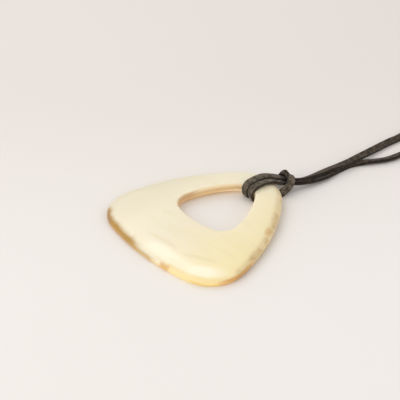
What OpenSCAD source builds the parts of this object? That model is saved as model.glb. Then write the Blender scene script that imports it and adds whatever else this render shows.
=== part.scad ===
// Horn pendant on a suede lace, lying on a table. Millimetres, +Z up. The origin lies under the
// middle of the pendant's box, on the table. +Y runs from the wide edge to the narrow end, where
// the lace is hitched on, and the pendant's width lies along X.

/* [Pendant outline] */
// Half the distance between the centres of the two wide corners
corner_x = 19.7; // [17:0.1:22]
// How far the wide corners' centres lie towards the wide edge
corner_y = 17.2; // [15:0.1:19]
// Radius of the two wide corners
corner_r = 15; // [12:0.1:17]
// How far the narrow end's centre lies towards the lace
tip_y = 15.5; // [13:0.1:17]
// Radius of the narrow end
tip_r = 18.7; // [17:0.1:21]
// Radius of the long bow of each side
side_r = 86.8; // [70:0.1:110]
// Radius of the long bow of the wide edge
base_r = 107; // [80:1:140]

/* [Hole outline] */
// Half the distance between the centres of the hole's two wide corners
hole_corner_x = 7.9; // [7:0.1:9]
// Radius of the hole's two wide corners, whose centres lie at Y 0
hole_corner_r = 7; // [6:0.1:8]
// How far the centre of the hole's narrow end lies towards the lace
hole_tip_y = 16.2; // [15:0.1:17]
// Radius of the hole's narrow end
hole_tip_r = 7.1; // [6.5:0.1:7.5]
// Radius of the bow of each side of the hole
hole_side_r = 42.6; // [36:0.1:60]
// Radius of the bow of the hole's wide edge
hole_base_r = 39; // [30:1:60]

/* [Pendant thickness] */
// Thickness of the horn from the back to the polished top
horn_t = 4; // [3.5:0.1:4]
// Height of the outermost line of the rim over the back
rim_z = 1.1; // [0.8:0.1:1.6]
// Width of the zone in which the top rolls down to the rim
roll_w = 12; // [8:0.5:14]
// How square the roll is, 2 is an ellipse and more is flatter on top
roll_power = 2.4; // [2:0.1:3]
// Radius of the edge between the rim and the back
back_round = 1; // [0.5:0.1:1.5]
// Radius of the edge between the top and the hole's wall
hole_round = 0.9; // [0.4:0.1:1.2]
// Radius of the edge between the back and the hole's wall
hole_back_round = 0.5; // [0.3:0.1:0.8]
// Angle at which the narrow end is propped up on the lace under it
prop_angle = 1.7; // [1.7:0.1:2]

/* [Lace] */
// Width of the flat suede lace
lace_w = 3.2; // [2.8:0.1:3.2]
// Thickness of the lace
lace_t = 1.5; // [1.3:0.1:1.5]
// Radius of the lace's cut edges
lace_round = 0.35; // [0.2:0.05:0.5]

/* [Clasp] */
// Length of the turned barrel that joins the two ends of the lace
clasp_l = 15; // [12:0.5:18]
// Diameter of the barrel
clasp_d = 5.5; // [5:0.1:5.5]
// Radius of the barrel's rounded ends
clasp_round = 0.6; // [0.3:0.1:1]

/* [Hidden] */

HORN = [0.94, 0.88, 0.72];
SUEDE = [0.3, 0.28, 0.25];
STEEL = [0.72, 0.72, 0.74];

// Steps in each arc of half an outline: wide edge, wide corner, side and narrow end
ARC_STEPS = [8, 16, 16, 14];
// Steps across the rolled top and in each rounded edge
ROLL_STEPS = 10;
EDGE_STEPS = 3;
// Rings between two points of the hitch's route
HITCH_STEPS = 2;

PENDANT = [corner_x, -corner_y, corner_r, tip_y, tip_r, side_r, base_r];
HOLE = [hole_corner_x, 0, hole_corner_r, hole_tip_y, hole_tip_r, hole_side_r, hole_base_r];

CLASP_POS = [2, 240, clasp_d / 2];
CLASP_ENDS = [CLASP_POS.x - clasp_l / 2, CLASP_POS.x + clasp_l / 2];

// The lace's routes. Each row has the point [x, y, z] of the lace's middle, and the direction of
// its flat width as a bearing from +X and a rise, in degrees.
LEFT_EXIT = [6.6, 41.2, 4.15, -22, 30];
RIGHT_EXIT = [7.2, 40.2, 2.95, -22, 30];

// Round the narrow end: over the top, down the hole, out under the back, then the bight up
// over the two strands and the same way back
HITCH_ROUTE = [
    LEFT_EXIT,
    [5.0, 39.4, 4.45, -24, 23],
    [3.0, 37.0, 5.2, -24, 5],
    [1.2, 34.3, 6.05, -22, 4],
    [-0.1, 31.3, 6.7, -18, -3],
    [-0.7, 28.3, 6.85, -14, -6],
    [-0.9, 26.0, 6.8, -10, -6],
    [-1.0, 24.0, 6.65, -8, -4],
    [-1.1, 22.4, 5.85, -7, -2],
    [-1.1, 21.7, 4.4, -6, 0],
    [-1.1, 21.75, 3.0, -6, 0],
    [-1.15, 22.0, 1.9, -8, -2],
    [-1.4, 22.7, 1.05, -8, 0],
    [-1.7, 23.9, 0.82, -6, 0],
    [-2.2, 26.2, 0.8, -2, 0],
    [-2.6, 29.6, 0.82, 0, 0],
    [-2.7, 32.6, 0.88, 0, 0],
    [-2.6, 35.0, 1.35, 0, -22],
    [-1.8, 36.9, 1.9, 12, -50],
    [-0.9, 38.3, 2.15, 56, -64],
    [-0.1, 39.4, 2.45, 84, -44],
    [0.6, 40.0, 3.2, 90, -14],
    [1.5, 40.4, 4.34, 98, -1],
    [2.77, 40.36, 5.22, 94, -47],
    [4.5, 39.85, 6.79, 90, -65],
    [6.0, 39.45, 7.22, 82, -58],
    [7.45, 39.3, 6.8, 64, -30],
    [8.4, 39.0, 5.7, 48, -2],
    [8.95, 38.0, 4.35, 41, 0],
    [8.9, 36.5, 3.05, 31, 0],
    [8.4, 34.9, 2.0, 13, 0],
    [7.8, 33.0, 1.1, -2, 0],
    [6.5, 30.0, 0.8, -17, 0],
    [4.5, 26.2, 0.8, -20, 0],
    [3.0, 23.9, 0.8, -18, 0],
    [2.45, 22.6, 1.05, -20, 0],
    [2.35, 21.9, 1.9, -18, 0],
    [2.35, 21.55, 3.1, -18, 0],
    [2.4, 21.45, 4.6, -18, 0],
    [2.5, 22.0, 5.8, -14, 0],
    [2.8, 23.7, 6.65, -11, 6],
    [3.05, 26.4, 6.85, -10, 11],
    [3.55, 29.5, 6.65, -14, 12],
    [4.3, 32.7, 5.8, -18, 13],
    [5.25, 35.9, 3.96, -22, 22],
    [6.1, 38.3, 3.5, -22, 21],
    RIGHT_EXIT
];

// From the hitch, over the other strand and round by the left to the clasp
LEFT_ROUTE = [
    LEFT_EXIT,
    [8.2, 43.0, 3.85, -19, 32],
    [9.3, 46.0, 3.39, -15, 33],
    [10.1, 50.8, 2.95, -10, 25],
    [10.85, 56.8, 2.79, -8, 15],
    [11.65, 61.8, 2.83, -6, 14],
    [12.27, 66.8, 2.54, -4, 5],
    [13.0, 72.0, 2.6, -4, -1],
    [13.3, 77.0, 2.65, -2, -6],
    [13.2, 83.0, 2.1, -2, -16],
    [13.1, 90.0, 1.6, -2, -22],
    [13.4, 98.0, 1.4, -2, -20],
    [14.0, 105.5, 1.2, 0, -14],
    [13.2, 113.0, 1.0, 8, -6],
    [10.0, 122.0, 0.8, 20, 0],
    [5.0, 131.0, 0.8, 30, 0],
    [-1.0, 140.0, 0.8, 34, 0],
    [-8.0, 150.0, 0.8, 34, 0],
    [-15.0, 161.0, 0.8, 32, 0],
    [-21.0, 172.0, 0.8, 27, 0],
    [-26.0, 184.0, 0.8, 18, 0],
    [-29.0, 196.0, 0.8, 8, 0],
    [-29.5, 208.0, 0.8, -4, 0],
    [-28.0, 219.0, 0.8, -20, 0],
    [-23.5, 229.0, 1.0, -38, 0],
    [-17.5, 236.0, 1.7, -60, 0],
    [-10.5, 240.0, CLASP_POS.z, -90, 0],
    [CLASP_ENDS[0], CLASP_POS.y, CLASP_POS.z, -90, 0]
];

// From the hitch, under the other strand and round by the right to the clasp
RIGHT_ROUTE = [
    RIGHT_EXIT,
    [8.3, 42.1, 2.4, -19, 30],
    [9.9, 45.0, 2.14, -15, 31],
    [11.35, 49.4, 1.77, -12, 27],
    [12.4, 54.8, 1.5, -10, 22],
    [12.37, 60.4, 1.17, -8, 9],
    [12.25, 66.2, 0.81, -6, 0],
    [13.2, 72.2, 0.8, -12, 0],
    [16.0, 77.4, 1.1, -20, 12],
    [19.1, 82.2, 1.2, -22, 18],
    [21.7, 87.4, 1.2, -18, 18],
    [23.2, 94.0, 1.2, -10, 14],
    [24.6, 102.0, 1.1, -10, 8],
    [26.4, 111.0, 0.9, -12, 2],
    [28.6, 121.0, 0.8, -11, 0],
    [30.6, 132.0, 0.8, -8, 0],
    [31.8, 144.0, 0.8, -4, 0],
    [32.2, 156.0, 0.8, 0, 0],
    [32.2, 168.0, 0.8, 0, 0],
    [32.2, 180.0, 0.8, 0, 0],
    [32.0, 192.0, 0.8, 2, 0],
    [31.2, 204.0, 0.8, 8, 0],
    [29.0, 215.0, 0.9, 18, 0],
    [25.5, 225.0, 1.1, 34, 0],
    [20.5, 234.0, 1.7, 56, 0],
    [14.5, 240.0, CLASP_POS.z, 90, 0],
    [CLASP_ENDS[1], CLASP_POS.y, CLASP_POS.z, 90, 0]
];

function unit(v) = v / norm(v);
function polar(centre, r, a) = centre + r * [cos(a), sin(a)];

// Centre of the side's bow, which touches the wide corner and the narrow end from inside
function bow_centre(corner, corner_gap, tip, tip_gap) =
    let(span = tip - corner, d = norm(span),
        along = (corner_gap * corner_gap - tip_gap * tip_gap + d * d) / (2 * d),
        off = sqrt(corner_gap * corner_gap - along * along))
    corner + span * along / d + [-span.y, span.x] * off / d;

// The four arcs of an outline's right half, each [centre, radius, first angle, last angle]
function arcs(o) =
    let(corner = [o[0], o[1]], tip = [0, o[3]],
        base = [0, o[1] + sqrt(pow(o[6] - o[2], 2) - o[0] * o[0])],
        bow = bow_centre(corner, o[5] - o[2], tip, o[5] - o[4]),
        a1 = atan2(corner.y - base.y, corner.x - base.x),
        a2 = atan2(corner.y - bow.y, corner.x - bow.x),
        a3 = atan2(tip.y - bow.y, tip.x - bow.x))
    [[base, o[6], -90, a1], [corner, o[2], a1, a2], [bow, o[5], a2, a3], [tip, o[4], a3, 90]];

// The whole outline, from the middle of the wide edge round by the right
function outline(o) =
    let(right = [for (k = [0:3], arc = [arcs(o)[k]], i = [0:ARC_STEPS[k] - 1])
            polar(arc[0], arc[1], arc[2] + (arc[3] - arc[2]) * i / ARC_STEPS[k])],
        left = [for (i = [len(right) - 1:-1:1]) [-right[i].x, right[i].y]])
    concat(right, [[0, o[3] + o[4]]], left);

// The cross-section of a band of horn of width w, as [way in from the rim, height over the back]
function band_section(w) =
    let(roll = min(roll_w, w - 2 * hole_round), rise = horn_t - rim_z)
    concat(
        [for (i = [0:EDGE_STEPS - 1], a = [90 * i / EDGE_STEPS])
            [back_round * (1 - sin(a)), rim_z * (1 - cos(a))]],
        [for (i = [0:ROLL_STEPS], a = [90 * i / ROLL_STEPS], e = [2 / roll_power])
            [roll * (1 - pow(cos(a), e)), rim_z + rise * pow(sin(a), e)]],
        [for (i = [0:EDGE_STEPS], a = [90 * i / EDGE_STEPS])
            [w - hole_round * (1 - sin(a)), horn_t - hole_round * (1 - cos(a))]],
        [for (i = [0:EDGE_STEPS], a = [90 * i / EDGE_STEPS])
            [w - hole_back_round * (1 - cos(a)), hole_back_round * (1 - sin(a))]]
    );

// A point of the pendant, propped up round the X axis
function propped(p) =
    [p.x, p.y * cos(prop_angle) - p.z * sin(prop_angle), p.y * sin(prop_angle) + p.z * cos(prop_angle)];

// Triangles between closed rings of n points; a loop of rings joins the last to the first
function ring_faces(rings, n, looped) =
    [for (i = [0:rings - (looped ? 1 : 2)], j = [0:n - 1])
        let(a = i * n + j, b = i * n + (j + 1) % n,
            c = ((i + 1) % rings) * n + j, d = ((i + 1) % rings) * n + (j + 1) % n)
        each [[a, b, d], [a, d, c]]];

// Direction of the lace's flat width in a row of a route
function width_dir(row) = [cos(row[3]) * cos(row[4]), sin(row[3]) * cos(row[4]), sin(row[4])];

// A point on the smooth curve between rows 1 and 2 of four
function between(r0, r1, r2, r3, t) =
    0.5 * (2 * r1 + (r2 - r0) * t + (2 * r0 - 5 * r1 + 4 * r2 - r3) * t * t
        + (3 * r1 - r0 - 3 * r2 + r3) * t * t * t);

// A route with steps - 1 smooth rows added between each pair of rows
function smoothed(route, steps) =
    let(last = len(route) - 1,
        before = 2 * route[0] - route[1], after = 2 * route[last] - route[last - 1])
    [for (i = [0:last - 1], k = [0:steps - 1])
        between(i == 0 ? before : route[i - 1], route[i], route[i + 1],
            i + 2 > last ? after : route[i + 2], k / steps),
        route[last]];

// The lace's cross-section, as [along the width, through the thickness]
LACE_SECTION =
    let(a = lace_w / 2, b = lace_t / 2, r = lace_round)
    [[-a, -b + r], [-a + r, -b], [a - r, -b], [a, -b + r], [a, b - r], [a - r, b], [-a + r, b], [-a, b - r]];

// The lace's cross-section set square to the route at a row, which runs along heading
function lace_ring(row, heading) =
    let(p = [row[0], row[1], row[2]], tangent = unit(heading),
        wide = width_dir(row),
        flat = unit(wide - tangent * (wide * tangent)),
        through = cross(flat, tangent))
    [for (s = LACE_SECTION) p + flat * s[0] + through * s[1]];

// Where a route heads from row a to row b
function heading(a, b) = [b[0] - a[0], b[1] - a[1], b[2] - a[2]];

module lace(route, steps = 1) {
    rows = smoothed(route, steps);
    last = len(rows) - 1;
    n = len(LACE_SECTION);
    rings = [for (i = [0:last])
        lace_ring(rows[i],
            i == 0 ? heading(route[0], route[1])
            : i == last ? heading(route[len(route) - 2], route[len(route) - 1])
            : heading(rows[i - 1], rows[i + 1]))];
    color(SUEDE)
        polyhedron(
            points = [for (ring = rings) each ring],
            faces = concat([[for (j = [n - 1:-1:0]) j]], ring_faces(last + 1, n, false),
                [[for (j = [0:n - 1]) last * n + j]]),
            convexity = 8);
}

module pendant() {
    rim = outline(PENDANT);
    hole = outline(HOLE);
    stations = len(rim);
    raised = [for (i = [0:stations - 1])
        let(inward = hole[i] - rim[i], w = norm(inward))
        each [for (s = band_section(w)) propped([rim[i].x + inward.x * s[0] / w,
            rim[i].y + inward.y * s[0] / w, s[1]])]];
    lowest = min([for (p = raised) p.z]);
    middle = (min([for (p = raised) p.y]) + max([for (p = raised) p.y])) / 2;
    color(HORN)
        polyhedron(
            points = [for (p = raised) p - [0, middle, lowest]],
            faces = ring_faces(stations, len(band_section(2 * roll_w)), true),
            convexity = 8);
}

module hitch() {
    lace(HITCH_ROUTE, HITCH_STEPS);
}

module strand_left() {
    lace(LEFT_ROUTE);
}

module strand_right() {
    lace(RIGHT_ROUTE);
}

module clasp() {
    r = clasp_d / 2;
    straight = clasp_l - 2 * clasp_round;
    color(STEEL)
        translate(CLASP_POS)
            rotate([0, 90, 0])
                rotate_extrude($fn = 48)
                    union() {
                        translate([0, -straight / 2]) square([r, straight]);
                        translate([0, -clasp_l / 2]) square([r - clasp_round, clasp_l]);
                        for (side = [-1, 1])
                            translate([r - clasp_round, side * straight / 2])
                                circle(clasp_round, $fn = 24);
                    }
}

pendant();
hitch();
strand_left();
strand_right();
clasp();
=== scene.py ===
# A polished horn pendant hitched on a flat suede lace, lying on a pale table
import math

import bpy
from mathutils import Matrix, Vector


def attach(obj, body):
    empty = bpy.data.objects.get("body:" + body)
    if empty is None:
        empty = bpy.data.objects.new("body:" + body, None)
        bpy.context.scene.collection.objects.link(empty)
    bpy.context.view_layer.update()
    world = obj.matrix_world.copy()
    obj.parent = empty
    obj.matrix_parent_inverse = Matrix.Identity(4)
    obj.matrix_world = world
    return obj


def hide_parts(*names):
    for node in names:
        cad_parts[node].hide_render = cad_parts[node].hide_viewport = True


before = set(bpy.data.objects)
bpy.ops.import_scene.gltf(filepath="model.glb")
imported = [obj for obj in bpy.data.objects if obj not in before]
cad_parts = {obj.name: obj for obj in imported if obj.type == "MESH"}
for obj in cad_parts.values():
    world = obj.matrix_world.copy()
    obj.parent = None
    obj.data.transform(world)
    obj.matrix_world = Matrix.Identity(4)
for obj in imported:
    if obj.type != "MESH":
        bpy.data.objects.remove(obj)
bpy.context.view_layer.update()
print("frame loaded")


# camera, where the photographer stood: to the pendant's lower right, looking down
camera = {
    "place": (0.21768, -0.20445, 0.22447),
    "bearing": -42.55,  # degrees from +X, seen from the pendant
    "height": 35.69,  # degrees above the table
    "lens": 83.8,  # mm
}
bpy.ops.object.camera_add(
    location=camera["place"],
    rotation=(math.radians(90 - camera["height"]), 0, math.radians(90 + camera["bearing"])),
)
photoCamera = bpy.context.object
photoCamera.name = "photoCamera"
photoCamera.data.lens = camera["lens"]
photoCamera.data.clip_start = 0.01
bpy.context.scene.camera = photoCamera
print("camera placed")


class Flow:
    # A value in a material. Arithmetic on it adds Math nodes, and add() makes any other node
    def __init__(self, tree, socket=None):
        self.tree = tree
        self.socket = socket

    def add(self, kind, settings=None, inputs=None, output=0):
        made = self.tree.nodes.new("ShaderNode" + kind)
        for name, value in (settings or {}).items():
            if name == "stops":
                while len(made.color_ramp.elements) < len(value):
                    made.color_ramp.elements.new(1)
                for stop, (place, colour) in zip(made.color_ramp.elements, value):
                    stop.position = place
                    stop.color = colour
            else:
                setattr(made, name, value)
        for name, value in (inputs or {}).items():
            if isinstance(value, Flow):
                self.tree.links.new(value.socket, made.inputs[name])
            else:
                made.inputs[name].default_value = value
        return Flow(self.tree, made.outputs[output])

    def maths(self, operation, first, second=0.0):
        return self.add("Math", {"operation": operation}, {0: first, 1: second})

    def __add__(self, other):
        return self.maths("ADD", self, other)

    def __sub__(self, other):
        return self.maths("SUBTRACT", self, other)

    def __rsub__(self, other):
        return self.maths("SUBTRACT", other, self)

    def __mul__(self, other):
        return self.maths("MULTIPLY", self, other)

    def __truediv__(self, other):
        return self.maths("DIVIDE", self, other)

    __radd__ = __add__
    __rmul__ = __mul__

    def step(self, low, high):
        # 0 below low, 1 above high, smooth between; low may be the greater
        return self.add("MapRange", {"interpolation_type": "SMOOTHSTEP"}, {0: self, 1: low, 2: high})

    def limited(self):
        return self.add("Clamp", inputs={0: self})

    def mix(self, first, second):
        # from the first colour to the second as this value goes from 0 to 1
        return self.add("Mix", {"data_type": "RGBA"}, {0: self, 6: first, 7: second}, output=2)


def rgb(red, green, blue):
    # a colour as the eye sees it on screen, 0 to 255, as linear light
    linear = [((v / 255 + 0.055) / 1.055) ** 2.4 if v > 10 else v / 3294 for v in (red, green, blue)]
    return tuple(linear) + (1,)


def newMaterial(name, constants):
    # a Principled material with its constant values set; returns it, its shader and a Flow to build on
    material = bpy.data.materials.new(name)
    material.use_nodes = True
    tree = material.node_tree
    shader = tree.nodes["Principled BSDF"]
    for socket, value in constants.items():
        shader.inputs[socket].default_value = value
    return material, shader, Flow(tree)


def feed(shader, socket, flow):
    flow.tree.links.new(flow.socket, shader.inputs[socket])


def deselectAll():
    if bpy.context.mode != "OBJECT":
        bpy.ops.object.mode_set(mode="OBJECT")
    bpy.ops.object.select_all(action="DESELECT")


def select(piece):
    deselectAll()
    piece.select_set(True)
    bpy.context.view_layer.objects.active = piece


def applyModifiers(piece):
    select(piece)
    for name in [m.name for m in piece.modifiers]:
        bpy.ops.object.modifier_apply(modifier=name)


def placeMaterial(piece, material):
    piece.data.materials.clear()
    piece.data.materials.append(material)


# lace: one flat strip of suede, hitched over the pendant's narrow end. The routes are the CAD
# model's own: middle of the lace in metres, then bearing and rise of its flat width in degrees
lace = {
    "width": 0.0032,
    "thickness": 0.0015,
    "round": 0.00035,
    "ringGap": 0.00045,  # between the cross-sections of the finished lace
    "smoothAngle": 50,  # degrees; sharper edges stay sharp
    "litKnotTones": ((37, 31, 25), (88, 79, 67), (125, 114, 98)),  # painted lighter, as the lit copy; the strands' tones are the shaded copy
    "shadedStrandTones": ((30, 25, 19), (64, 55, 46), (98, 87, 73)),
    "creaseShadeColour": (13, 10, 8),
    "creaseShadeSpots": (  # painted shade in the knot's crevices: place and reach
        (0.0028, 0.0401, 0.005, 0.003),
        (0.0054, 0.0394, 0.0046, 0.0026),
        (0.0066, 0.0386, 0.0034, 0.0018),
    ),
    "leftLength": 0.2233,
    "rightLength": 0.2140,
}
hitchRoute = [
    (0.0066, 0.0412, 0.00415, -22, 30),
    (0.005, 0.0394, 0.00445, -24, 23),
    (0.003, 0.037, 0.0052, -24, 5),
    (0.0012, 0.0343, 0.00605, -22, 4),
    (-0.0001, 0.0313, 0.0067, -18, -3),
    (-0.0007, 0.0283, 0.00685, -14, -6),
    (-0.0009, 0.026, 0.0068, -10, -6),
    (-0.001, 0.024, 0.00665, -8, -4),
    (-0.0011, 0.0224, 0.00585, -7, -2),
    (-0.0011, 0.0217, 0.0044, -6, 0),
    (-0.0011, 0.02175, 0.003, -6, 0),
    (-0.00115, 0.022, 0.0019, -8, -2),
    (-0.0014, 0.0227, 0.00105, -8, 0),
    (-0.0017, 0.0239, 0.00082, -6, 0),
    (-0.0022, 0.0262, 0.0008, -2, 0),
    (-0.0026, 0.0296, 0.00082, 0, 0),
    (-0.0027, 0.0326, 0.00088, 0, 0),
    (-0.0026, 0.035, 0.00135, 0, -22),
    (-0.0018, 0.0369, 0.0019, 12, -50),
    (-0.0009, 0.0383, 0.00215, 56, -64),
    (-0.0001, 0.0394, 0.00245, 84, -44),
    (0.0006, 0.04, 0.0032, 90, -14),
    (0.0015, 0.0404, 0.00434, 98, -1),
    (0.00277, 0.04036, 0.00522, 94, -47),
    (0.0045, 0.03985, 0.00679, 90, -65),
    (0.006, 0.03945, 0.00722, 82, -58),
    (0.00745, 0.0393, 0.0068, 64, -30),
    (0.0084, 0.039, 0.0057, 48, -2),
    (0.00895, 0.038, 0.00435, 41, 0),
    (0.0089, 0.0365, 0.00305, 31, 0),
    (0.0084, 0.0349, 0.002, 13, 0),
    (0.0078, 0.033, 0.0011, -2, 0),
    (0.0065, 0.03, 0.0008, -17, 0),
    (0.0045, 0.0262, 0.0008, -20, 0),
    (0.003, 0.0239, 0.0008, -18, 0),
    (0.00245, 0.0226, 0.00105, -20, 0),
    (0.00235, 0.0219, 0.0019, -18, 0),
    (0.00235, 0.02155, 0.0031, -18, 0),
    (0.0024, 0.02145, 0.0046, -18, 0),
    (0.0025, 0.022, 0.0058, -14, 0),
    (0.0028, 0.0237, 0.00665, -11, 6),
    (0.00305, 0.0264, 0.00685, -10, 11),
    (0.00355, 0.0295, 0.00665, -14, 12),
    (0.0043, 0.0327, 0.0058, -18, 13),
    (0.00525, 0.0359, 0.00396, -22, 22),
    (0.0061, 0.0383, 0.0035, -22, 21),
    (0.0072, 0.0402, 0.00295, -22, 30),
]
leftRoute = [
    (0.0066, 0.0412, 0.00415, -22, 30),
    (0.0082, 0.043, 0.00385, -19, 32),
    (0.0093, 0.046, 0.00339, -15, 33),
    (0.0101, 0.0508, 0.00295, -10, 25),
    (0.01085, 0.0568, 0.00279, -8, 15),
    (0.01165, 0.0618, 0.00283, -6, 14),
    (0.01227, 0.0668, 0.00254, -4, 5),
    (0.013, 0.072, 0.0026, -4, -1),
    (0.0133, 0.077, 0.00265, -2, -6),
    (0.0132, 0.083, 0.0021, -2, -16),
    (0.0131, 0.09, 0.0016, -2, -22),
    (0.0134, 0.098, 0.0014, -2, -20),
    (0.014, 0.1055, 0.0012, 0, -14),
    (0.0132, 0.113, 0.001, 8, -6),
    (0.01, 0.122, 0.0008, 20, 0),
    (0.005, 0.131, 0.0008, 30, 0),
    (-0.001, 0.14, 0.0008, 34, 0),
    (-0.008, 0.15, 0.0008, 34, 0),
    (-0.015, 0.161, 0.0008, 32, 0),
    (-0.021, 0.172, 0.0008, 27, 0),
    (-0.026, 0.184, 0.0008, 18, 0),
    (-0.029, 0.196, 0.0008, 8, 0),
    (-0.0295, 0.208, 0.0008, -4, 0),
    (-0.028, 0.219, 0.0008, -20, 0),
    (-0.0235, 0.229, 0.001, -38, 0),
    (-0.0175, 0.236, 0.0017, -60, 0),
    (-0.0105, 0.24, 0.00275, -90, 0),
    (-0.0055, 0.24, 0.00275, -90, 0),
]
rightRoute = [
    (0.0072, 0.0402, 0.00295, -22, 30),
    (0.0083, 0.0421, 0.0024, -19, 30),
    (0.0099, 0.045, 0.00214, -15, 31),
    (0.01135, 0.0494, 0.00177, -12, 27),
    (0.0124, 0.0548, 0.0015, -10, 22),
    (0.01237, 0.0604, 0.00117, -8, 9),
    (0.01225, 0.0662, 0.00081, -6, 0),
    (0.0132, 0.0722, 0.0008, -12, 0),
    (0.016, 0.0774, 0.0011, -20, 12),
    (0.0191, 0.0822, 0.0012, -22, 18),
    (0.0217, 0.0874, 0.0012, -18, 18),
    (0.0232, 0.094, 0.0012, -10, 14),
    (0.0246, 0.102, 0.0011, -10, 8),
    (0.0264, 0.111, 0.0009, -12, 2),
    (0.0286, 0.121, 0.0008, -11, 0),
    (0.0306, 0.132, 0.0008, -8, 0),
    (0.0318, 0.144, 0.0008, -4, 0),
    (0.0322, 0.156, 0.0008, 0, 0),
    (0.0322, 0.168, 0.0008, 0, 0),
    (0.0322, 0.18, 0.0008, 0, 0),
    (0.032, 0.192, 0.0008, 2, 0),
    (0.0312, 0.204, 0.0008, 8, 0),
    (0.029, 0.215, 0.0009, 18, 0),
    (0.0255, 0.225, 0.0011, 34, 0),
    (0.0205, 0.234, 0.0017, 56, 0),
    (0.0145, 0.24, 0.00275, 90, 0),
    (0.0095, 0.24, 0.00275, 90, 0),
]


def between(rows, i, t):
    # the smooth curve through the rows, from row i to the next
    last = len(rows) - 1
    r1, r2 = rows[i], rows[i + 1]
    r0 = rows[i - 1] if i > 0 else [2 * a - b for a, b in zip(r1, r2)]
    r3 = rows[i + 2] if i + 2 <= last else [2 * b - a for a, b in zip(r1, r2)]
    return [
        0.5 * (2 * b + (c - a) * t + (2 * a - 5 * b + 4 * c - d) * t * t + (3 * b - a - 3 * c + d) * t ** 3)
        for a, b, c, d in zip(r0, r1, r2, r3)
    ]


def smoothRoute(rows, gap):
    made = []
    for i in range(len(rows) - 1):
        steps = max(1, round((Vector(rows[i + 1][:3]) - Vector(rows[i][:3])).length / gap))
        made += [between(rows, i, k / steps) for k in range(steps)]
    return made + [list(rows[-1])]


def laceOutline():
    # the cross-section of the lace: flat faces, cut edges that are a little rounded
    half, flat, r = lace["width"] / 2, lace["thickness"] / 2, lace["round"]
    outline = []
    for corner in range(4):
        across = half - r if corner in (0, 3) else r - half
        through = flat - r if corner < 2 else r - flat
        for k in range(4):
            a = math.radians(90 * corner + 30 * k)
            outline.append((across + r * math.cos(a), through + r * math.sin(a)))
        nextAcross = half - r if corner in (3, 2) else r - half
        if corner in (0, 2):
            for k in (1, 2, 3):
                outline.append((across + (nextAcross - across) * k / 4, outline[-1][1]))
        else:
            outline.append((outline[-1][0], 0))
    return outline


def sweepLace(name, rows):
    # returns the lace as a closed mesh and the middle line that it follows
    rows = smoothRoute(rows, lace["ringGap"])
    outline = laceOutline()
    path = [Vector(row[:3]) for row in rows]
    points, faces = [], []
    sides = len(outline)
    for i, row in enumerate(rows):
        ahead = path[min(i + 1, len(path) - 1)]
        behind = path[max(i - 1, 0)]
        tangent = (ahead - behind).normalized()
        bearing, rise = math.radians(row[3]), math.radians(row[4])
        level = math.cos(rise)
        wide = Vector((math.cos(bearing) * level, math.sin(bearing) * level, math.sin(rise)))
        wide = (wide - tangent * wide.dot(tangent)).normalized()
        through = wide.cross(tangent)
        points += [path[i] + wide * a + through * b for a, b in outline]
    for i in range(len(rows) - 1):
        for j in range(sides):
            k = (j + 1) % sides
            faces.append((i * sides + j, i * sides + k, (i + 1) * sides + k, (i + 1) * sides + j))
    faces.append(tuple(range(sides - 1, -1, -1)))
    faces.append(tuple((len(rows) - 1) * sides + j for j in range(sides)))
    mesh = bpy.data.meshes.new(name)
    mesh.from_pydata([tuple(p) for p in points], [], faces)
    piece = bpy.data.objects.new(name, mesh)
    bpy.context.scene.collection.objects.link(piece)
    layer = mesh.uv_layers.new(name="laceUv")
    for polygon in mesh.polygons[:-2]:
        i, j = divmod(polygon.index, sides)
        corners = ((i, j), (i, j + 1), (i + 1, j + 1), (i + 1, j))
        for loop, (ring, side) in zip(polygon.loop_indices, corners):
            layer.data[loop].uv = (ring * lace["ringGap"], side / sides)
    select(piece)
    bpy.ops.object.mode_set(mode="EDIT")
    bpy.ops.mesh.select_all(action="SELECT")
    bpy.ops.mesh.normals_make_consistent(inside=False)
    bpy.ops.object.mode_set(mode="OBJECT")
    bpy.ops.object.shade_smooth_by_angle(angle=math.radians(lace["smoothAngle"]))
    return piece, path


def suede(name, tones, creaseShadeSpots=()):
    material, shader, flow = newMaterial(
        name, {"Sheen Weight": 0.08, "Sheen Roughness": 0.5, "Specular IOR Level": 0.1}
    )
    place = flow.add("TexCoord", output=3)
    blotch = flow.add("TexNoise", inputs={"Vector": place, "Scale": 500, "Detail": 2})
    nap = flow.add("TexNoise", inputs={"Vector": place, "Scale": 2400, "Detail": 3, "Roughness": 0.7})
    tone = (blotch * 0.3 + nap * 0.7).step(0.36, 0.64)
    dark, mid, light = [rgb(*colour) for colour in tones]
    colour = tone.step(0.0, 0.5).mix(dark, mid)
    colour = tone.step(0.5, 1.0).mix(colour, light)
    # round the strip from edge to edge: the two cut edges are painted darker than the two faces, as painted
    # shade
    side = flow.add("SeparateXYZ", inputs={0: flow.add("TexCoord", output=2)}, output=1)
    cut = flow.maths("COSINE", (side + 0.02) * 4 * math.pi).step(0.35, 0.9)
    colour = (cut * 0.75).mix(colour, dark)
    # painted shade: darker in the knot's crevices, where shadow falls
    for x, y, z, reach in creaseShadeSpots:
        away = flow.add("VectorMath", {"operation": "DISTANCE"}, {0: place, 1: (x, y, z)}, output=1)
        colour = (away.step(reach, reach * 0.35) * 0.9).mix(colour, rgb(*lace["creaseShadeColour"]))
    feed(shader, "Base Color", colour)
    feed(shader, "Roughness", 0.98 - 0.12 * tone)
    bump = flow.add("Bump", inputs={"Strength": 0.5, "Distance": 0.0002, "Height": nap + blotch * 0.4})
    feed(shader, "Normal", bump)
    return material


# lit and shaded copies of one suede: the knot painted lighter, the strands darker
litKnotSuede = suede("litKnotSuede", lace["litKnotTones"], lace["creaseShadeSpots"])
shadedStrandSuede = suede("shadedStrandSuede", lace["shadedStrandTones"])
hitch, hitchPath = sweepLace("laceHitch", hitchRoute)
leftStrand, leftPath = sweepLace("laceLeft", leftRoute)
rightStrand, rightPath = sweepLace("laceRight", rightRoute)
for piece, node in ((hitch, "hitch"), (leftStrand, "strand_left"), (rightStrand, "strand_right")):
    placeMaterial(piece, litKnotSuede if node == "hitch" else shadedStrandSuede)
    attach(piece, "root")
    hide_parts(node)
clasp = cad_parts["clasp"]
print("lace made")


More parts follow.
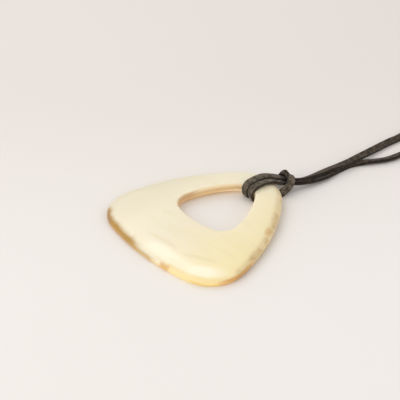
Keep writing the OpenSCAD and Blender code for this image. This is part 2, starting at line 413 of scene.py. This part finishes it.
# pendant: the CAD model's slab, merged and made smooth
horn = {
    "cream": (232, 223, 196),
    "shade": (214, 204, 176),
    "paintedHighlight": (250, 241, 218),
    "honey": (238, 224, 174),
    "streak": (222, 208, 162),
    "gold": (238, 212, 146),
    "ochre": (214, 184, 104),
    "amber": (178, 138, 58),
    "brown": (172, 128, 66),
    "tan": (208, 180, 130),
    "smoke": (156, 120, 80),
    "rust": (204, 154, 78),
    "wallLip": (222, 202, 164),
    "wallMiddleShade": (192, 162, 114),
    "wallWideEndShade": (176, 134, 92),
    "wallFootLight": (234, 212, 182),
    "prop": math.radians(1.7),  # the narrow end lies on the lace
    "wideEdge": -0.0342,  # Y where the back touches the table
    "holeCentre": (0.0, 0.0072),
    "holeReach": (0.0172, 0.0185),
    "rimWaver": 0.0007,  # how far the rim's colours wander up and down
    "rimBlur": 0.0005,
    "mergeDistance": 0.000005,
    "smoothing": 2,  # subdivision levels
}


class Slab:
    # where a point of the horn lies: across, along, height over its back, and the same with a slight waver
    def __init__(self, flow):
        place = flow.add("TexCoord", output=3)
        waver = flow.add("TexNoise", inputs={"Vector": place, "Scale": 260, "Detail": 3})
        self.flow = flow
        self.place = place
        self.x = flow.add("SeparateXYZ", inputs={0: place}, output=0)
        self.y = flow.add("SeparateXYZ", inputs={0: place}, output=1)
        z = flow.add("SeparateXYZ", inputs={0: place}, output=2)
        self.height = z - (self.y - horn["wideEdge"]) * math.tan(horn["prop"])
        self.waver = waver - 0.5

    def patch(self, x, y, long, short, turn=0.0):
        # 1 in the middle of a soft oval on the horn, 0 outside it; turn is in degrees
        c, s = math.cos(math.radians(turn)), math.sin(math.radians(turn))
        along = ((self.x - x) * c + (self.y - y) * s) / long + self.waver * 0.5
        across = ((self.y - y) * c - (self.x - x) * s) / short + self.waver * 0.5
        return (along * along + across * across).step(1.0, 0.1)

    def upTo(self, reach):
        # 1 on the rim below this height over the back, 0 above it
        blur = horn["rimBlur"]
        return (self.height + self.waver * horn["rimWaver"]).step(reach + blur, reach - blur)

    def inHole(self):
        # 1 near the hole's wall, 0 near the rim
        cx, cy = horn["holeCentre"]
        rx, ry = horn["holeReach"]
        across, along = (self.x - cx) / rx, (self.y - cy) / ry
        return (across * across + along * along).step(1.25, 1.05)


def polishedHorn():
    material, shader, flow = newMaterial(
        "polishedHorn",
        {
            "Subsurface Weight": 0.45,
            "Subsurface Radius": (1.0, 0.85, 0.55),
            "Subsurface Scale": 0.0025,
            "Coat Roughness": 0.16,
            "Emission Strength": 1.0,
        },
    )
    slab = Slab(flow)
    layers = flow.add(
        "Mapping", inputs={"Vector": slab.place, "Scale": (26, 120, 60), "Rotation": (0, 0, 0.12)}
    )
    streaks = flow.add(
        "TexNoise",
        inputs={"Vector": layers, "Scale": 1.6, "Detail": 4, "Roughness": 0.55, "Distortion": 0.6},
    )
    cloud = flow.add("TexNoise", inputs={"Vector": slab.place, "Scale": 42, "Detail": 3})
    fleck = flow.add("TexNoise", inputs={"Vector": slab.place, "Scale": 420, "Detail": 2})

    # the body: a painted highlight along the roll towards the wide edge, yellower along the right arm,
    # painted shade on the left, with faint layers
    yellow = (slab.x + slab.waver * 0.006).step(-0.002, 0.03) * 0.8 + cloud.step(0.5, 0.75) * 0.2
    colour = yellow.limited().mix(rgb(*horn["cream"]), rgb(*horn["honey"]))
    colour = (slab.x.step(-0.012, -0.028) * 0.5).mix(colour, rgb(*horn["shade"]))
    colour = (streaks.step(0.5, 0.72) * 0.22).mix(colour, rgb(*horn["streak"]))
    outside = 1.0 - slab.inHole()
    # painted highlight: a whitish stripe along the near roll
    nearRoll = (slab.y - slab.x * 0.1).step(-0.021, -0.026) * slab.x.step(-0.008, 0.006) * outside
    highlightBand = slab.height.step(0.0027, 0.0032) - slab.height.step(0.00365, 0.0039)
    colour = (highlightBand * nearRoll * 0.45).mix(colour, rgb(*horn["paintedHighlight"]))
    # painted highlights and darker layers: place, half length and width, turn, strength, colour
    for x, y, long, short, turn, depth, tint in (
        (0.006, -0.0288, 0.01, 0.003, 10, 0.4, "paintedHighlight"),
        (0.025, -0.0262, 0.0075, 0.0032, 30, 0.6, "paintedHighlight"),
        (-0.0101, -0.0121, 0.0045, 0.0016, 10, 0.25, "streak"),
        (0.0006, -0.0252, 0.0105, 0.0012, 6, 0.4, "streak"),
        (0.0195, -0.0222, 0.0085, 0.0014, 24, 0.45, "streak"),
    ):
        colour = (slab.patch(x, y, long, short, turn) * depth).mix(colour, rgb(*horn[tint]))

    # the rim, seen through the thin horn: gold, then amber and brown where it is darkest. Each
    # colour reaches up to a height over the back
    edge = slab.upTo(0.0013) * outside
    colour = (edge * 0.75).mix(colour, rgb(*horn["ochre"]))
    leftTip = slab.x.step(-0.022, -0.028) * slab.y.step(-0.02, -0.0235) * outside
    colour = (leftTip * slab.upTo(0.0016) * 0.6).mix(colour, rgb(*horn["smoke"]))
    leftBand = slab.x.step(-0.001, -0.009) * slab.y.step(-0.0245, -0.0275) * outside
    colour = (leftBand * slab.upTo(0.0029)).mix(colour, rgb(*horn["amber"]))
    colour = (leftBand * slab.upTo(0.0017) * 0.5).mix(colour, rgb(*horn["brown"]))
    rightSide = (slab.x + slab.y * 0.55).step(0.0215, 0.027) * outside
    mottle = flow.add("TexNoise", inputs={"Vector": slab.place, "Scale": 260, "Detail": 2, "Roughness": 0.5})
    # painted shade: tan, mottled, where the right side faces away from the light
    rightShadeBand = rightSide * (slab.height + slab.waver * 0.0008).step(0.0036, 0.0028)
    colour = (rightShadeBand * (0.52 + 0.2 * mottle.step(0.4, 0.62))).mix(colour, rgb(*horn["tan"]))
    inner = rightSide * (slab.height.step(0.0014, 0.0021) - slab.height.step(0.003, 0.0035))
    colour = (inner * mottle.step(0.44, 0.66) * 0.28).mix(colour, rgb(*horn["brown"]))
    # spots on the rim: as the clouds, and the height that they reach up to
    for x, y, long, short, turn, reach, depth, tint in (
        (0.018, -0.0325, 0.01, 0.005, 10, 0.0027, 0.7, "gold"),
        (0.029, -0.029, 0.009, 0.005, 42, 0.0026, 0.6, "gold"),
        (0.029, -0.029, 0.009, 0.005, 42, 0.0014, 0.8, "ochre"),
        (-0.0265, -0.0292, 0.0046, 0.0032, -30, 0.0026, 0.75, "smoke"),
        (-0.0312, -0.0248, 0.0048, 0.0026, -52, 0.0021, 0.6, "smoke"),
        (-0.0015, -0.034, 0.0095, 0.004, 0, 0.0021, 0.7, "amber"),
        (0.0114, -0.0331, 0.0032, 0.0034, 0, 0.0024, 0.75, "rust"),
        (0.0338, -0.0165, 0.0045, 0.0115, 0, 0.0021, 1.0, "rust"),
        (0.0338, -0.0135, 0.0035, 0.006, 0, 0.0019, 0.35, "brown"),
        (0.031, -0.006, 0.002, 0.0036, 24, 0.0032, 0.25, "brown"),
        (0.0222, 0.0152, 0.002, 0.005, 30, 0.003, 0.25, "brown"),
        (0.0308, -0.0005, 0.0024, 0.005, 24, 0.0018, 0.3, "brown"),
        (0.025, 0.0082, 0.0018, 0.0034, 24, 0.0036, 0.42, "rust"),
    ):
        depth = slab.patch(x, y, long, short, turn) * slab.upTo(reach) * outside * depth
        colour = depth.mix(colour, rgb(*horn[tint]))

    # the hole's wall, in painted light and shade: pale under the lip, brown painted shade half way down and
    # browner at the wide end, and a pale painted light at the foot
    wall = slab.inHole() * slab.height.step(0.0038, 0.0032)
    wallHeight = slab.height + (fleck - 0.5) * 0.0006
    wallLightAndShade = wallHeight.step(0.0032, 0.0014).mix(rgb(*horn["wallLip"]), rgb(*horn["wallMiddleShade"]))
    wallLightAndShade = (slab.patch(-0.012, 0.0, 0.008, 0.008) * 0.6).mix(wallLightAndShade, rgb(*horn["wallWideEndShade"]))
    pale = wallHeight.step(0.001, 0.0003) * slab.x.step(-0.012, -0.002)
    wallLightAndShade = pale.mix(wallLightAndShade, rgb(*horn["wallFootLight"]))
    colour = wall.mix(colour, wallLightAndShade)

    # painted light: the thin rim and the wall glow by emission, most at the foot, standing in for light
    # passing through the horn
    foot = slab.height.step(0.0022, 0.0002) * (1.0 - 0.75 * rightSide)
    glow = 0.04 + 0.2 * wall + (0.42 - 0.1 * wall) * foot

    feed(shader, "Base Color", colour)
    feed(shader, "Emission Color", glow.mix((0, 0, 0, 1), colour))
    feed(shader, "Roughness", 0.34 + 0.12 * cloud)
    feed(shader, "Coat Weight", 0.3 + 0.2 * streaks)
    bump = flow.add("Bump", inputs={"Strength": 0.12, "Distance": 0.0002, "Height": cloud + streaks})
    feed(shader, "Normal", bump)
    return material


pendant = bpy.data.objects.new("hornPendant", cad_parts["pendant"].data.copy())
bpy.context.scene.collection.objects.link(pendant)
select(pendant)
bpy.ops.object.mode_set(mode="EDIT")
bpy.ops.mesh.select_all(action="SELECT")
bpy.ops.mesh.remove_doubles(threshold=horn["mergeDistance"])
bpy.ops.mesh.tris_convert_to_quads(face_threshold=math.radians(60), shape_threshold=math.radians(120))
bpy.ops.object.mode_set(mode="OBJECT")
notQuads = sum(len(p.vertices) != 4 for p in pendant.data.polygons)
print("pendant faces", len(pendant.data.polygons), "of them not quads", notQuads)
pendant.modifiers.new("round", "SUBSURF").levels = horn["smoothing"]
pendant.modifiers["round"].render_levels = horn["smoothing"]
applyModifiers(pendant)
bpy.ops.object.shade_smooth()
placeMaterial(pendant, polishedHorn())
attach(pendant, "root")
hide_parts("pendant")
print("pendant made")


# clasp: a turned steel barrel, with the fine rings that turning leaves
barrel = {"dark": (176, 176, 180), "light": (206, 206, 208), "rings": (9000, 200, 200)}


def satinSteel():
    material, shader, flow = newMaterial("satinSteel", {"Metallic": 1.0})
    place = flow.add("TexCoord", output=3)
    ringed = flow.add("Mapping", inputs={"Vector": place, "Scale": barrel["rings"]})
    brushed = flow.add("TexNoise", inputs={"Vector": ringed, "Scale": 1, "Detail": 3})
    feed(shader, "Base Color", brushed.mix(rgb(*barrel["dark"]), rgb(*barrel["light"])))
    feed(shader, "Roughness", 0.28 + 0.14 * brushed)
    return material


placeMaterial(clasp, satinSteel())
print("clasp made")


# table, backdrop and light
table = {"size": 8.0, "near": (237, 234, 229), "far": (228, 221, 215), "cloud": (234, 228, 222)}
bpy.ops.mesh.primitive_plane_add(size=table["size"], location=(0, 0, 0))
floor = bpy.context.object
floor.name = "table"


def paleTable():
    material, shader, flow = newMaterial("paleTable", {"Specular IOR Level": 0.1})
    place = flow.add("TexCoord", output=3)
    cloud = flow.add("TexNoise", inputs={"Vector": place, "Scale": 6, "Detail": 2})
    x = flow.add("SeparateXYZ", inputs={0: place}, output=0)
    y = flow.add("SeparateXYZ", inputs={0: place}, output=1)
    # painted shade: the table darker towards the far side
    away = (0.68 * y - 0.74 * x).step(-0.05, 0.13)
    colour = away.mix(rgb(*table["near"]), rgb(*table["far"]))
    feed(shader, "Base Color", (cloud * 0.4).mix(colour, rgb(*table["cloud"])))
    feed(shader, "Roughness", 0.8 + 0.1 * cloud)
    return material


placeMaterial(floor, paleTable())

light = {
    "windowSize": 0.7,
    "windowPlace": (-0.7, 0.16, 0.76),
    "windowPower": 1.8,
    "tint": (1.0, 0.985, 0.97),
    "fillSize": 0.8,
    "fillPlace": (-0.12, -0.78, 0.52),
    "fillPower": 2.8,
    "sideSize": 0.6,
    "sidePlace": (0.8, 0.1, 0.42),
    "sidePower": 1.0,
    "skyStrength": 0.75,
    "sky": (255, 254, 254),
}
world = bpy.data.worlds.new("softRoom")
world.use_nodes = True
world.node_tree.nodes["Background"].inputs[0].default_value = rgb(*light["sky"])
world.node_tree.nodes["Background"].inputs[1].default_value = light["skyStrength"]
bpy.context.scene.world = world
for name in ("window", "fill", "side"):
    aim = -Vector(light[name + "Place"])
    bpy.ops.object.light_add(type="AREA", location=-aim, rotation=aim.to_track_quat("-Z", "Y").to_euler())
    lamp = bpy.context.object
    lamp.name = name
    lamp.data.size = light[name + "Size"]
    lamp.data.energy = light[name + "Power"]
    lamp.data.color = light["tint"]
bpy.context.scene.view_settings.view_transform = "Standard"
print("table and light made")
